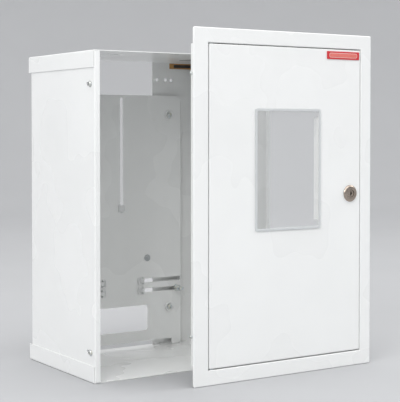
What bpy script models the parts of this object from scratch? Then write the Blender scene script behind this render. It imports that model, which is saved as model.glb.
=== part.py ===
"""Standpipe cabinet: a sheet-steel wall box with a mounting plate, and the front frame and
hinged door that close it, stood to one side in front of the box.

Metres, +Z up. The origin is the centre of the box's base. The open front faces -Y.
"""

import math

import bmesh
import bpy
from mathutils import Matrix, Vector

# Sheet metal
SHEET = 0.0012
GAP = 0.0003
CUT_MARGIN = 0.005  # how far a cutter runs past the wall it cuts

# Wall box
BOX_WIDTH = 0.328
BOX_DEPTH = 0.228
BOX_HEIGHT = 0.500
CAP_RIM = 0.026
LIP_WIDTH = 0.0104
SIDE_REAR = 0.1085
REAR_FLANGE_WIDTH = 0.044
RAIL_INNER = 0.068
RAIL_OUTER = 0.1355
RAIL_HOLE_PLACES = (0.077, 0.095, 0.106)
RAIL_HOLE_HEIGHT = 0.468
RAIL_HOLE_RADIUS = 0.0026
SIDE_SCREW_SLOT_HALF = 0.003
SIDE_SCREW_SLOT_HEIGHTS = {"upper": 0.4495, "lower": 0.0450}

# Mounting plate
PLATE_HALF_WIDTH = 0.1215
PLATE_BOTTOM = 0.012
PLATE_FOOT = 0.0018  # underside of the plate's two feet, just clear of the bottom tray
PLATE_FOOT_INNER = 0.1010
PLATE_TOP = 0.440
PLATE_FRONT = 0.095
PLATE_RETURN = 0.009
PLATE_CORNER = 0.016
HANGER_SLOT = (0.2375, 0.4355)
HANGER_SLOT_WIDTH = 0.006
SIDE_SLOT_HEIGHTS = {"upper": 0.1175, "lower": 0.1005}
SIDE_SLOT = (0.031, 0.118)
SIDE_SLOT_WIDTH = 0.0064
PIPE_CUTOUT_HALF_WIDTH = 0.052
PIPE_CUTOUT = (0.031, 0.075)
SLIDER_SIZE = 0.0125
WING_NUT_X = 0.1105
PLATE_SCREW_X = 0.0955
PLATE_SCREW_HEIGHTS = {"upper": 0.4063, "lower": 0.068}
PLUG_X = 0.051
PLUG_HEIGHT = 0.157
PLUG_HOLE_RADIUS = 0.0040
BOLT_HOLE_RADIUS = 0.0029

# Front frame: outer left edge, front plane and borders round the door opening
FRAME_LEFT = -0.054
FRAME_FRONT = -0.218
FRAME_WIDTH = 0.342
FRAME_HEIGHT = 0.532
BORDER = {"left": 0.026, "right": 0.0215, "bottom": 0.023, "top": 0.0225}
HEM_DEPTH = 0.003
NECK_DEPTH = 0.048
NECK_LIP = 0.010
STUD_HEIGHTS = {"upper": 0.4655, "lower": 0.0685}
STUD_DEPTH = 0.036

# Door
DOOR_CLEARANCE = 0.0016
DOOR_DEPTH = 0.018
HINGE_FROM_EDGE = 0.005
HINGE_FROM_FRONT = 0.004
HINGE_PIN_RADIUS = 0.0018
WINDOW_LEFT = 0.059
WINDOW_RIGHT = 0.1804
WINDOW_BOTTOM = 0.2284
WINDOW_TOP = 0.4106
WINDOW_REVEAL = 0.0127
REVEAL_RELIEF = 0.010
WINDOW_RIM_OVERLAP = 0.0026
NAME_PLATE_WIDTH = 0.066
NAME_PLATE_HEIGHTS = (0.4925, 0.5048)

# Lock, on the door
LOCK_X = FRAME_LEFT + 0.2983
LOCK_HEIGHT = 0.2785
LOCK_ROSETTE_RADIUS = 0.0135
LOCK_BODY_RADIUS = 0.009
LOCK_BORE_RADIUS = 0.006
LOCK_BODY_LENGTH = 0.0225
PLUG_TAIL_HALF = 0.0030
CAM_HALF_WIDTH = 0.0075
CAM_LENGTH = 0.0195
KEEPER_REACH = 0.0115
KEEPER_SHEET = 0.0015

ROUND_SIDES = 28
SMALL_ROUND_SIDES = 20
SIDES = {"left": -1, "right": 1}

# Finish: colour (linear), roughness, metallic
FINISHES = {
    "white_enamel": ((0.86, 0.87, 0.88), 0.38, 0.0),
    "zinc_steel": ((0.62, 0.62, 0.63), 0.36, 0.9),
    "nickel": ((0.70, 0.67, 0.63), 0.2, 1.0),
    "clear_acrylic": ((0.85, 0.90, 0.92), 0.08, 0.0),
    "grey_nylon": ((0.52, 0.53, 0.54), 0.5, 0.0),
    "red_label": ((0.62, 0.02, 0.025), 0.35, 0.0),
}


def clear_scene():
    for obj in list(bpy.data.objects):
        bpy.data.objects.remove(obj, do_unlink=True)


def make_material(node, finish):
    colour, roughness, metallic = FINISHES[finish]
    material = bpy.data.materials.new(node + "_" + finish)
    material.use_nodes = True
    shader = material.node_tree.nodes["Principled BSDF"]
    shader.inputs["Base Color"].default_value = (*colour, 1.0)
    shader.inputs["Roughness"].default_value = roughness
    shader.inputs["Metallic"].default_value = metallic
    return material


def add_object(name, bm, finish=None, smooth=False):
    bmesh.ops.recalc_face_normals(bm, faces=bm.faces)
    mesh = bpy.data.meshes.new(name)
    bm.to_mesh(mesh)
    bm.free()
    obj = bpy.data.objects.new(name, mesh)
    bpy.context.scene.collection.objects.link(obj)
    if finish:
        mesh.materials.append(make_material(name, finish))
    else:
        obj.hide_render = True
        obj.display_type = "WIRE"
    if smooth:
        mesh.shade_smooth()
        mesh.set_sharp_from_angle(angle=math.radians(35))
    return obj


def prism(name, outline, axis, start, end, finish=None, smooth=False):
    """A closed outline, in the two world axes other than `axis`, extruded along it."""
    places = {"X": (1, 2, 0), "Y": (0, 2, 1), "Z": (0, 1, 2)}[axis]
    bm = bmesh.new()
    corners = []
    for a, b in outline:
        point = Vector((0.0, 0.0, 0.0))
        point[places[0]] = a
        point[places[1]] = b
        point[places[2]] = start
        corners.append(bm.verts.new(point))
    face = bm.faces.new(corners)
    moved = bmesh.ops.extrude_face_region(bm, geom=[face])["geom"]
    offset = Vector((0.0, 0.0, 0.0))
    offset[places[2]] = end - start
    bmesh.ops.translate(bm, vec=offset, verts=[v for v in moved if isinstance(v, bmesh.types.BMVert)])
    return add_object(name, bm, finish, smooth)


def block(name, low, high, finish=None):
    outline = [(low[0], low[1]), (high[0], low[1]), (high[0], high[1]), (low[0], high[1])]
    return prism(name, outline, "Z", low[2], high[2], finish)


def rounded_rectangle(low_a, high_a, low_b, high_b, radius, steps=5):
    """Corner points of a rectangle with round corners, anticlockwise."""
    centres = [
        (high_a - radius, low_b + radius, -90),
        (high_a - radius, high_b - radius, 0),
        (low_a + radius, high_b - radius, 90),
        (low_a + radius, low_b + radius, 180),
    ]
    points = []
    for a, b, first in centres:
        for step in range(steps + 1):
            angle = math.radians(first + 90 * step / steps)
            points.append((a + radius * math.cos(angle), b + radius * math.sin(angle)))
    return points


def turned(name, profile, centre, direction, finish=None, sides=ROUND_SIDES):
    """A closed profile of (radius, distance along the axis) spun round `direction` at `centre`."""
    bm = bmesh.new()
    verts = [bm.verts.new((radius, 0.0, along)) for radius, along in profile]
    edges = [bm.edges.new(pair) for pair in zip(verts, verts[1:])]
    if min(profile[0][0], profile[-1][0]) > 0.0:
        edges.append(bm.edges.new((verts[-1], verts[0])))
    bmesh.ops.spin(
        bm, geom=verts + edges, cent=(0, 0, 0), axis=(0, 0, 1), angle=math.tau, steps=sides, use_merge=True
    )
    bmesh.ops.remove_doubles(bm, verts=bm.verts, dist=1e-6)
    turn = Vector(direction).to_track_quat("Z", "Y").to_matrix().to_4x4()
    bmesh.ops.transform(bm, matrix=Matrix.Translation(centre) @ turn, verts=bm.verts)
    return add_object(name, bm, finish, smooth=True)


def cylinder(name, radius, centre, direction, length, finish=None, sides=SMALL_ROUND_SIDES):
    profile = [(0.0, 0.0), (radius, 0.0), (radius, length), (0.0, length)]
    return turned(name, profile, centre, direction, finish, sides)


def rectangular_ring(name, section, front, low, high, finish):
    """A mitred ring round an X-Z rectangle.

    A section point holds its insets from the left, right, bottom and top, and its depth.
    """
    bm = bmesh.new()
    loops = []
    for left, right, bottom, top, depth in section:
        xs = (low[0] + left, high[0] - right)
        zs = (low[1] + bottom, high[1] - top)
        y = front + depth
        corners = [(xs[0], y, zs[0]), (xs[1], y, zs[0]), (xs[1], y, zs[1]), (xs[0], y, zs[1])]
        loops.append([bm.verts.new(corner) for corner in corners])
    for index, loop in enumerate(loops):
        following = loops[(index + 1) % len(loops)]
        for side in range(4):
            after = (side + 1) % 4
            bm.faces.new((loop[side], loop[after], following[after], following[side]))
    return add_object(name, bm, finish)


def cut(target, *cutters, operation="DIFFERENCE"):
    for cutter in cutters:
        modifier = target.modifiers.new(cutter.name, "BOOLEAN")
        modifier.solver = "EXACT"
        modifier.operation = operation
        modifier.object = cutter


def pivot(name, location, members, parent=None):
    """An empty on a joint's axis that carries the pieces which move about it."""
    empty = bpy.data.objects.new(name, None)
    empty.location = location
    bpy.context.scene.collection.objects.link(empty)
    bpy.context.view_layer.update()
    if parent:
        attach(empty, parent)
    for member in members:
        attach(member, empty)
    return empty


def attach(child, parent):
    bpy.context.view_layer.update()
    child.parent = parent
    child.matrix_parent_inverse = parent.matrix_world.inverted()


# Wall box

FRONT = -BOX_DEPTH / 2
BACK = BOX_DEPTH / 2
HALF_WIDTH = BOX_WIDTH / 2
SIDE_OUTER = HALF_WIDTH - SHEET - GAP
SIDE_INNER = SIDE_OUTER - SHEET
RAIL_FRONT = SIDE_REAR - SHEET - GAP - SHEET
SIDE_SCREW_SLOT_Y = (FRONT + 0.009, FRONT + 0.027)
SIDE_SCREW_Y = FRONT + 0.0135


def make_caps():
    """Top and bottom trays: a plate with a rim down each side, open at the front and back."""
    for name, low, high in (("bottom_cap", 0.0, 1.0), ("top_cap", BOX_HEIGHT, -1.0)):
        outline = [
            (-HALF_WIDTH, low),
            (HALF_WIDTH, low),
            (HALF_WIDTH, low + high * CAP_RIM),
            (HALF_WIDTH - SHEET, low + high * CAP_RIM),
            (HALF_WIDTH - SHEET, low + high * SHEET),
            (SHEET - HALF_WIDTH, low + high * SHEET),
            (SHEET - HALF_WIDTH, low + high * CAP_RIM),
            (-HALF_WIDTH, low + high * CAP_RIM),
        ]
        prism(name, outline, "Y", FRONT + SHEET + GAP, BACK, "white_enamel")


def make_side(side, sign):
    """Side panel: front lip, wall and rear flange bent from one sheet, with the frame's screw slots."""
    flange_end = SIDE_OUTER - REAR_FLANGE_WIDTH
    outline = [
        (HALF_WIDTH, FRONT),
        (HALF_WIDTH - LIP_WIDTH, FRONT),
        (HALF_WIDTH - LIP_WIDTH, FRONT + SHEET),
        (SIDE_INNER, FRONT + SHEET),
        (SIDE_INNER, SIDE_REAR - SHEET),
        (flange_end, SIDE_REAR - SHEET),
        (flange_end, SIDE_REAR),
        (SIDE_OUTER, SIDE_REAR),
        (SIDE_OUTER, FRONT + SHEET),
        (HALF_WIDTH, FRONT + SHEET),
    ]
    low, high = SHEET + GAP, BOX_HEIGHT - SHEET - GAP
    panel = prism("side_" + side, [(sign * x, y) for x, y in outline], "Z", low, high, "white_enamel")
    half = SIDE_SCREW_SLOT_HALF
    for level, height in SIDE_SCREW_SLOT_HEIGHTS.items():
        slot = rounded_rectangle(*SIDE_SCREW_SLOT_Y, height - half, height + half, half - 0.0001)
        name = "cut_side_slot_" + side + "_" + level
        ends = sign * (SIDE_INNER - CUT_MARGIN), sign * (HALF_WIDTH + CUT_MARGIN)
        cut(panel, prism(name, slot, "X", *ends))
        make_side_screw("side_screw_" + side + "_" + level, sign, height)
    cut(panel, *plate_bolt_cutters(side, sign, "flange"))


def make_side_screw(name, sign, height):
    """Pan-head screw in a side slot: head and washer outside, shank through the wall."""
    head = [
        (0.0, 0.0),
        (0.0020, 0.0),
        (0.0020, 0.0080),
        (0.0046, 0.0080),
        (0.0046, 0.0088),
        (0.0036, 0.0088),
        (0.0034, 0.0102),
        (0.0022, 0.0110),
        (0.0, 0.0112),
    ]
    base = SIDE_OUTER + GAP - 0.0080
    turned(name, head, (sign * base, SIDE_SCREW_Y, height), (sign, 0, 0), "zinc_steel", SMALL_ROUND_SIDES)


def make_rail(side, sign):
    """Rear rail: a flat strip in front of the side's rear flange, with three fixing holes at the top."""
    outline = [(RAIL_INNER, RAIL_FRONT), (RAIL_OUTER, RAIL_FRONT)]
    outline += [(RAIL_OUTER, RAIL_FRONT + SHEET), (RAIL_INNER, RAIL_FRONT + SHEET)]
    low, high = SHEET + GAP, BOX_HEIGHT - SHEET - GAP
    rail = prism("rear_rail_" + side, [(sign * x, y) for x, y in outline], "Z", low, high, "white_enamel")
    for index, x in enumerate(RAIL_HOLE_PLACES):
        name = "cut_rail_hole_" + side + "_" + str(index)
        place = (sign * x, RAIL_FRONT - CUT_MARGIN, RAIL_HOLE_HEIGHT)
        cut(rail, cylinder(name, RAIL_HOLE_RADIUS, place, (0, 1, 0), 2 * CUT_MARGIN))
    cut(rail, *plate_bolt_cutters(side, sign, "rail"))


def plate_bolt_cutters(side, sign, where):
    """Cutters for one side's two plate bolts, long enough to pass the plate, rail and flange."""
    cutters = []
    for level, height in PLATE_SCREW_HEIGHTS.items():
        name = "cut_bolt_" + where + "_" + side + "_" + level
        place = (sign * PLATE_SCREW_X, PLATE_FRONT - CUT_MARGIN, height)
        cutters.append(cylinder(name, BOLT_HOLE_RADIUS, place, (0, 1, 0), 0.030))
    return cutters


# Mounting plate


def make_mounting_plate():
    """Shallow channel on two feet, with a hanger slot, four adjusting slots and a pipe cut-out."""
    width, face, back = PLATE_HALF_WIDTH, PLATE_FRONT, PLATE_FRONT + PLATE_RETURN
    outline = [
        (-width, face),
        (width, face),
        (width, back),
        (width - SHEET, back),
        (width - SHEET, face + SHEET),
        (SHEET - width, face + SHEET),
        (SHEET - width, back),
        (-width, back),
    ]
    plate = prism("mounting_plate", outline, "Z", PLATE_FOOT, PLATE_TOP, "white_enamel")
    before, after = face - CUT_MARGIN, back + CUT_MARGIN
    below = PLATE_FOOT - 2 * PLATE_CORNER
    body = rounded_rectangle(-width - 0.0001, width + 0.0001, below, PLATE_TOP, PLATE_CORNER)
    cut(plate, prism("keep_plate_outline", body, "Y", before, after), operation="INTERSECT")
    gap_end = PLATE_FOOT_INNER
    under = rounded_rectangle(-gap_end, gap_end, -PLATE_BOTTOM, PLATE_BOTTOM, 0.003)
    cut(plate, prism("cut_under_plate", under, "Y", before, after))
    half = HANGER_SLOT_WIDTH / 2
    hanger = rounded_rectangle(-half, half, *HANGER_SLOT, 0.001, 3)
    cut(plate, prism("cut_hanger_slot", hanger, "Y", before, after))
    pipe = rounded_rectangle(-PIPE_CUTOUT_HALF_WIDTH, PIPE_CUTOUT_HALF_WIDTH, *PIPE_CUTOUT, 0.006)
    cut(plate, prism("cut_pipe_opening", pipe, "Y", before, after))
    half = SIDE_SLOT_WIDTH / 2
    for side, sign in SIDES.items():
        ends = sorted((sign * SIDE_SLOT[0], sign * SIDE_SLOT[1]))
        for level, height in SIDE_SLOT_HEIGHTS.items():
            slot = rounded_rectangle(*ends, height - half, height + half, 0.0006, 2)
            cut(plate, prism("cut_slot_" + side + "_" + level, slot, "Y", before, after))
        place = (sign * PLUG_X, before, PLUG_HEIGHT)
        cut(plate, cylinder("cut_plug_" + side, PLUG_HOLE_RADIUS, place, (0, 1, 0), 0.020))
        cut(plate, *plate_bolt_cutters(side, sign, "plate"))


def make_plate_fasteners():
    """A washer-head screw and its nut at each corner of the plate, and two hole plugs."""
    screw = [
        (0.0, 0.0),
        (0.0024, 0.0),
        (0.0042, 0.0012),
        (0.0045, 0.0032),
        (0.0085, 0.0036),
        (0.0085, 0.0046),
        (0.0025, 0.0046),
        (0.0025, 0.0220),
        (0.0, 0.0220),
    ]
    plug = [(0.0, 0.0), (0.0030, 0.0002), (0.0056, 0.0012), (0.0058, 0.0020), (0.0036, 0.0020)]
    plug += [(0.0036, 0.0060), (0.0, 0.0060)]
    for side, sign in SIDES.items():
        for level, height in PLATE_SCREW_HEIGHTS.items():
            start = (sign * PLATE_SCREW_X, PLATE_FRONT - GAP - 0.0046, height)
            turned("plate_screw_" + side + "_" + level, screw, start, (0, 1, 0), "zinc_steel")
            seat = (sign * PLATE_SCREW_X, RAIL_FRONT + SHEET + GAP, height)
            make_nut("plate_nut_" + side + "_" + level, seat, 0.0046, BOLT_HOLE_RADIUS, 0.0036)
        start = (sign * PLUG_X, PLATE_FRONT - GAP - 0.0020, PLUG_HEIGHT)
        turned("hole_plug_" + side, plug, start, (0, 1, 0), "grey_nylon", SMALL_ROUND_SIDES)


def make_nut(name, seat, across_corner_radius, bore_radius, thickness):
    """Hexagon nut on an axis along +Y, starting at `seat`."""
    points = []
    for corner in range(6):
        angle = math.radians(60 * corner)
        across, up = across_corner_radius * math.cos(angle), across_corner_radius * math.sin(angle)
        points.append((seat[0] + across, seat[2] + up))
    nut = prism(name, points, "Y", seat[1], seat[1] + thickness, "zinc_steel")
    bore = cylinder("cut_" + name, bore_radius, (seat[0], seat[1] - CUT_MARGIN, seat[2]), (0, 1, 0), 0.020)
    cut(nut, bore)
    return nut


def make_slider(name, x, z, along):
    """Square slider gripping a slot's two edges: a face in front, a neck in the slot, a foot behind."""
    width = HANGER_SLOT_WIDTH if along == "Z" else SIDE_SLOT_WIDTH
    half, neck = SLIDER_SIZE / 2, width / 2 - GAP
    face, behind = PLATE_FRONT - GAP, PLATE_FRONT + SHEET + GAP
    section = [
        (-half, face - 0.0022),
        (half, face - 0.0022),
        (half, face),
        (neck, face),
        (neck, behind),
        (half, behind),
        (half, behind + 0.0020),
        (-half, behind + 0.0020),
        (-half, behind),
        (-neck, behind),
        (-neck, face),
        (-half, face),
    ]
    if along == "Z":
        outline = [(x + across, y) for across, y in section]
        slider = prism(name, outline, "Z", z - half, z + half, "grey_nylon")
    else:
        across_half = (SIDE_SLOT_HEIGHTS["upper"] - SIDE_SLOT_HEIGHTS["lower"]) / 2 - 0.0006
        section = [(y, z + max(-across_half, min(across_half, across))) for across, y in section]
        slider = prism(name, section, "X", x - half, x + half, "grey_nylon")
    recess = 0.0030
    cut(
        slider,
        block(
            "cut_" + name,
            (x - recess, face - 0.0060, z - recess),
            (x + recess, face - 0.0010, z + recess),
        ),
    )
    return slider


def make_wing_nut():
    """Clamp bolt through the lower right slot, and the wing nut that tightens on it."""
    height = SIDE_SLOT_HEIGHTS["lower"]
    behind = PLATE_FRONT + SHEET + GAP
    bolt = [(0.0, -0.0190), (0.0024, -0.0190), (0.0024, 0.0), (0.0052, 0.0), (0.0052, 0.0030), (0.0, 0.0030)]
    seat = (WING_NUT_X, behind, height)
    stud = turned("clamp_bolt", bolt, seat, (0, 1, 0), "zinc_steel", SMALL_ROUND_SIDES)
    face = PLATE_FRONT - GAP
    wings = [
        (-0.0105, 0.0050),
        (-0.0085, 0.0065),
        (-0.0035, 0.0012),
        (0.0035, 0.0012),
        (0.0085, 0.0065),
        (0.0105, 0.0050),
        (0.0055, -0.0040),
        (-0.0055, -0.0040),
    ]
    tilt = math.radians(-20)
    points = []
    for across, up in wings:
        x = WING_NUT_X + across * math.cos(tilt) - up * math.sin(tilt)
        points.append((x, height + across * math.sin(tilt) + up * math.cos(tilt)))
    nut = prism("wing_nut", points, "Y", face - 0.0120, face - 0.0085, "zinc_steel")
    hub = [(0.0, -0.0120), (0.0048, -0.0110), (0.0056, 0.0), (0.0, 0.0)]
    hub_solid = turned("hub_wing_nut", hub, (WING_NUT_X, face, height), (0, 1, 0))
    bore = cylinder("cut_wing_nut", 0.0028, (WING_NUT_X, face - 0.020, height), (0, 1, 0), 0.030)
    cut(nut, hub_solid, operation="UNION")
    cut(nut, bore)
    return stud, nut


# Front frame

FRAME_RIGHT = FRAME_LEFT + FRAME_WIDTH
NECK_LEFT = FRAME_LEFT + BORDER["left"]
NECK_RIGHT = FRAME_RIGHT - BORDER["right"]
NECK_BOTTOM = BORDER["bottom"]
NECK_TOP = FRAME_HEIGHT - BORDER["top"]


def border_point(share, extra, depth):
    """Section point at `share` of each side's border plus `extra`, `depth` behind the front."""
    insets = [share * BORDER[side] + extra for side in ("left", "right", "bottom", "top")]
    return (*insets, depth)


def make_frame_rim():
    """Border, neck and rear lip bent from sheet, one closed ring."""
    section = [
        border_point(0, 0.0, 0.0),
        border_point(1, 0.0, 0.0),
        border_point(1, 0.0, NECK_DEPTH - SHEET),
        border_point(1, NECK_LIP, NECK_DEPTH - SHEET),
        border_point(1, NECK_LIP, NECK_DEPTH),
        border_point(1, -SHEET, NECK_DEPTH),
        border_point(1, -SHEET, SHEET),
        border_point(0, SHEET, SHEET),
        border_point(0, SHEET, HEM_DEPTH),
        border_point(0, 0.0, HEM_DEPTH),
    ]
    low, high = (FRAME_LEFT, 0.0), (FRAME_RIGHT, FRAME_HEIGHT)
    rim = rectangular_ring("frame_rim", section, FRAME_FRONT, low, high, "white_enamel")
    members = [rim]
    for side, x, sign in (("left", NECK_LEFT, -1), ("right", NECK_RIGHT, 1)):
        for level, height in STUD_HEIGHTS.items():
            place = (x - sign * 0.006, FRAME_FRONT + STUD_DEPTH, height)
            name = side + "_" + level
            cut(rim, cylinder("cut_neck_" + name, 0.0028, place, (sign, 0, 0), 0.012))
            members.append(make_neck_screw("neck_screw_" + name, x, sign, height))
    return members


def make_neck_screw(name, x, sign, height):
    """Short screw through the neck from inside: head within, shank standing out sideways."""
    profile = [
        (0.0, 0.0),
        (0.0030, 0.0003),
        (0.0042, 0.0018),
        (0.0042, 0.0026),
        (0.0025, 0.0026),
        (0.0025, 0.0125),
        (0.0, 0.0125),
    ]
    start = (x - sign * (0.0026 + GAP), FRAME_FRONT + STUD_DEPTH, height)
    return turned(name, profile, start, (sign, 0, 0), "zinc_steel", SMALL_ROUND_SIDES)


def make_lock_keeper():
    """Angle on the neck's right wall that the lock cam turns in behind."""
    front = FRAME_FRONT + DOOR_DEPTH + 0.0030
    right = NECK_RIGHT - GAP
    outline = [
        (right, front),
        (right - KEEPER_REACH, front),
        (right - KEEPER_REACH, front + KEEPER_SHEET),
        (right - KEEPER_SHEET, front + KEEPER_SHEET),
        (right - KEEPER_SHEET, front + 0.0160),
        (right, front + 0.0160),
    ]
    return prism("lock_keeper", outline, "Z", LOCK_HEIGHT - 0.024, LOCK_HEIGHT + 0.024, "zinc_steel")


# Door

DOOR_LEFT = NECK_LEFT + DOOR_CLEARANCE
DOOR_RIGHT = NECK_RIGHT - DOOR_CLEARANCE
DOOR_BOTTOM = NECK_BOTTOM + DOOR_CLEARANCE
DOOR_TOP = NECK_TOP - DOOR_CLEARANCE
HINGE_X = DOOR_LEFT + HINGE_FROM_EDGE
HINGE_Y = FRAME_FRONT + HINGE_FROM_FRONT


def make_hinge_pins():
    """Fixed pins standing from the neck's top and bottom into the door's folded edges."""
    length = 0.0095
    pins = []
    for level, z, sign in (("lower", NECK_BOTTOM + GAP, 1), ("upper", NECK_TOP - GAP, -1)):
        profile = [
            (0.0, 0.0),
            (0.0032, 0.0),
            (0.0032, 0.0008),
            (HINGE_PIN_RADIUS, 0.0008),
            (HINGE_PIN_RADIUS, length - 0.0006),
            (HINGE_PIN_RADIUS - 0.0006, length),
            (0.0, length),
        ]
        place = (HINGE_X, HINGE_Y, z)
        pins.append(
            turned("hinge_pin_" + level, profile, place, (0, 0, sign), "zinc_steel", SMALL_ROUND_SIDES)
        )
    return pins


def make_door_leaf():
    """Door tray: front skin, folded edges and folded window reveals with notched corners."""
    front, back = FRAME_FRONT, FRAME_FRONT + DOOR_DEPTH
    leaf = block("door_leaf", (DOOR_LEFT, front, DOOR_BOTTOM), (DOOR_RIGHT, back, DOOR_TOP), "white_enamel")
    tray = rectangular_ring(
        "cut_door_tray",
        [
            (SHEET, SHEET, SHEET, SHEET, SHEET),
            (
                WINDOW_LEFT - SHEET - DOOR_LEFT,
                DOOR_RIGHT - WINDOW_RIGHT - SHEET,
                WINDOW_BOTTOM - SHEET - DOOR_BOTTOM,
                DOOR_TOP - WINDOW_TOP - SHEET,
                SHEET,
            ),
            (
                WINDOW_LEFT - SHEET - DOOR_LEFT,
                DOOR_RIGHT - WINDOW_RIGHT - SHEET,
                WINDOW_BOTTOM - SHEET - DOOR_BOTTOM,
                DOOR_TOP - WINDOW_TOP - SHEET,
                DOOR_DEPTH + CUT_MARGIN,
            ),
            (SHEET, SHEET, SHEET, SHEET, DOOR_DEPTH + CUT_MARGIN),
        ],
        front,
        (DOOR_LEFT, DOOR_BOTTOM),
        (DOOR_RIGHT, DOOR_TOP),
        None,
    )
    window = block(
        "cut_window",
        (WINDOW_LEFT, front - CUT_MARGIN, WINDOW_BOTTOM),
        (WINDOW_RIGHT, back + CUT_MARGIN, WINDOW_TOP),
    )
    margin = 0.004
    shorten = block(
        "cut_reveal_depth",
        (WINDOW_LEFT - margin, front + WINDOW_REVEAL, WINDOW_BOTTOM - margin),
        (WINDOW_RIGHT + margin, back + 0.006, WINDOW_TOP + margin),
    )
    cut(leaf, tray, window, shorten)
    for column, x in (("left", WINDOW_LEFT), ("right", WINDOW_RIGHT)):
        for row, z in (("lower", WINDOW_BOTTOM), ("upper", WINDOW_TOP)):
            relief = block(
                "cut_relief_" + column + "_" + row,
                (x - REVEAL_RELIEF, front + SHEET + 0.0002, z - REVEAL_RELIEF),
                (x + REVEAL_RELIEF, back + 0.007, z + REVEAL_RELIEF),
            )
            cut(leaf, relief)
    for level, z in (("lower", DOOR_BOTTOM), ("upper", DOOR_TOP)):
        place = (HINGE_X, HINGE_Y, z - 0.004)
        cut(leaf, cylinder("cut_hinge_" + level, HINGE_PIN_RADIUS + GAP, place, (0, 0, 1), 0.008))
    place = (LOCK_X, front - CUT_MARGIN, LOCK_HEIGHT)
    cut(leaf, cylinder("cut_lock", LOCK_BODY_RADIUS + GAP, place, (0, 1, 0), 0.012, sides=ROUND_SIDES))
    return leaf


def make_window():
    """Clear pane flush in the opening, and the thin rim that covers its edge."""
    front = FRAME_FRONT
    pane = block(
        "window_pane",
        (WINDOW_LEFT + GAP, front - 0.0002, WINDOW_BOTTOM + GAP),
        (WINDOW_RIGHT - GAP, front + 0.0013, WINDOW_TOP - GAP),
        "clear_acrylic",
    )
    outer = WINDOW_RIM_OVERLAP
    outline = rounded_rectangle(
        WINDOW_LEFT - outer, WINDOW_RIGHT + outer, WINDOW_BOTTOM - outer, WINDOW_TOP + outer, 0.004
    )
    rim = prism("window_rim", outline, "Y", front - 0.0016, front - 0.0005, "clear_acrylic")
    inner = 0.0012
    hole = rounded_rectangle(
        WINDOW_LEFT + inner, WINDOW_RIGHT - inner, WINDOW_BOTTOM + inner, WINDOW_TOP - inner, 0.001, 2
    )
    cut(rim, prism("cut_window_rim", hole, "Y", front - 0.010, front + 0.010))
    return [pane, rim]


def make_name_plate():
    """Small red label at the door's top right corner."""
    right = DOOR_RIGHT - 0.0030
    outline = rounded_rectangle(right - NAME_PLATE_WIDTH, right, *NAME_PLATE_HEIGHTS, 0.0012, 3)
    return prism("name_plate", outline, "Y", FRAME_FRONT - 0.0011, FRAME_FRONT - GAP, "red_label")


def make_lock():
    """Cam lock: fixed housing and nut on the door, then the plug, cam and cam screw that turn."""
    housing_profile = [
        (LOCK_BORE_RADIUS, -0.0032),
        (0.0104, -0.0034),
        (0.0128, -0.0018),
        (LOCK_ROSETTE_RADIUS, -GAP),
        (LOCK_BODY_RADIUS, -GAP),
        (LOCK_BODY_RADIUS, LOCK_BODY_LENGTH),
        (LOCK_BORE_RADIUS, LOCK_BODY_LENGTH),
    ]
    centre = (LOCK_X, FRAME_FRONT, LOCK_HEIGHT)
    housing = turned("lock_housing", housing_profile, centre, (0, 1, 0), "nickel")
    seat = (LOCK_X, FRAME_FRONT + SHEET + GAP, LOCK_HEIGHT)
    nut = make_nut("lock_nut", seat, 0.0138, LOCK_BODY_RADIUS + GAP, 0.0040)

    plug_radius = LOCK_BORE_RADIUS - GAP
    end = LOCK_BODY_LENGTH + 0.0008
    square = PLUG_TAIL_HALF
    plug_profile = [
        (0.0, -0.0026),
        (plug_radius - 0.0005, -0.0026),
        (plug_radius, -0.0021),
        (plug_radius, end),
        (0.0, end),
    ]
    plug = turned("lock_plug", plug_profile, centre, (0, 1, 0), "nickel")
    keyway = rounded_rectangle(
        LOCK_X - 0.0011, LOCK_X + 0.0011, LOCK_HEIGHT - 0.0036, LOCK_HEIGHT + 0.0036, 0.001
    )
    cut(plug, prism("cut_keyway", keyway, "Y", FRAME_FRONT - 0.010, FRAME_FRONT + 0.012))
    tail = block(
        "tail_lock_plug",
        (LOCK_X - square, FRAME_FRONT + end - 0.002, LOCK_HEIGHT - square),
        (LOCK_X + square, FRAME_FRONT + end + 0.0032, LOCK_HEIGHT + square),
    )
    cut(plug, tail, operation="UNION")

    cam_front = FRAME_FRONT + end + GAP
    half = CAM_HALF_WIDTH
    outline = rounded_rectangle(
        LOCK_X - half, LOCK_X + half, LOCK_HEIGHT - half, LOCK_HEIGHT + CAM_LENGTH, half - 0.0005
    )
    cam = prism("lock_cam", outline, "Y", cam_front, cam_front + 0.0022, "zinc_steel")
    hole = square + GAP
    cut(
        cam,
        block(
            "cut_lock_cam",
            (LOCK_X - hole, cam_front - CUT_MARGIN, LOCK_HEIGHT - hole),
            (LOCK_X + hole, cam_front + 2 * CUT_MARGIN, LOCK_HEIGHT + hole),
        ),
    )
    screw_profile = [(0.0, 0.0), (0.0058, 0.0), (0.0058, 0.0010)]
    screw_profile += [(0.0040, 0.0010), (0.0034, 0.0026), (0.0, 0.0030)]
    place = (LOCK_X, FRAME_FRONT + end + 0.0032 + GAP, LOCK_HEIGHT)
    screw = turned("cam_screw", screw_profile, place, (0, 1, 0), "zinc_steel", SMALL_ROUND_SIDES)
    return [housing, nut], [plug, cam, screw]


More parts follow.
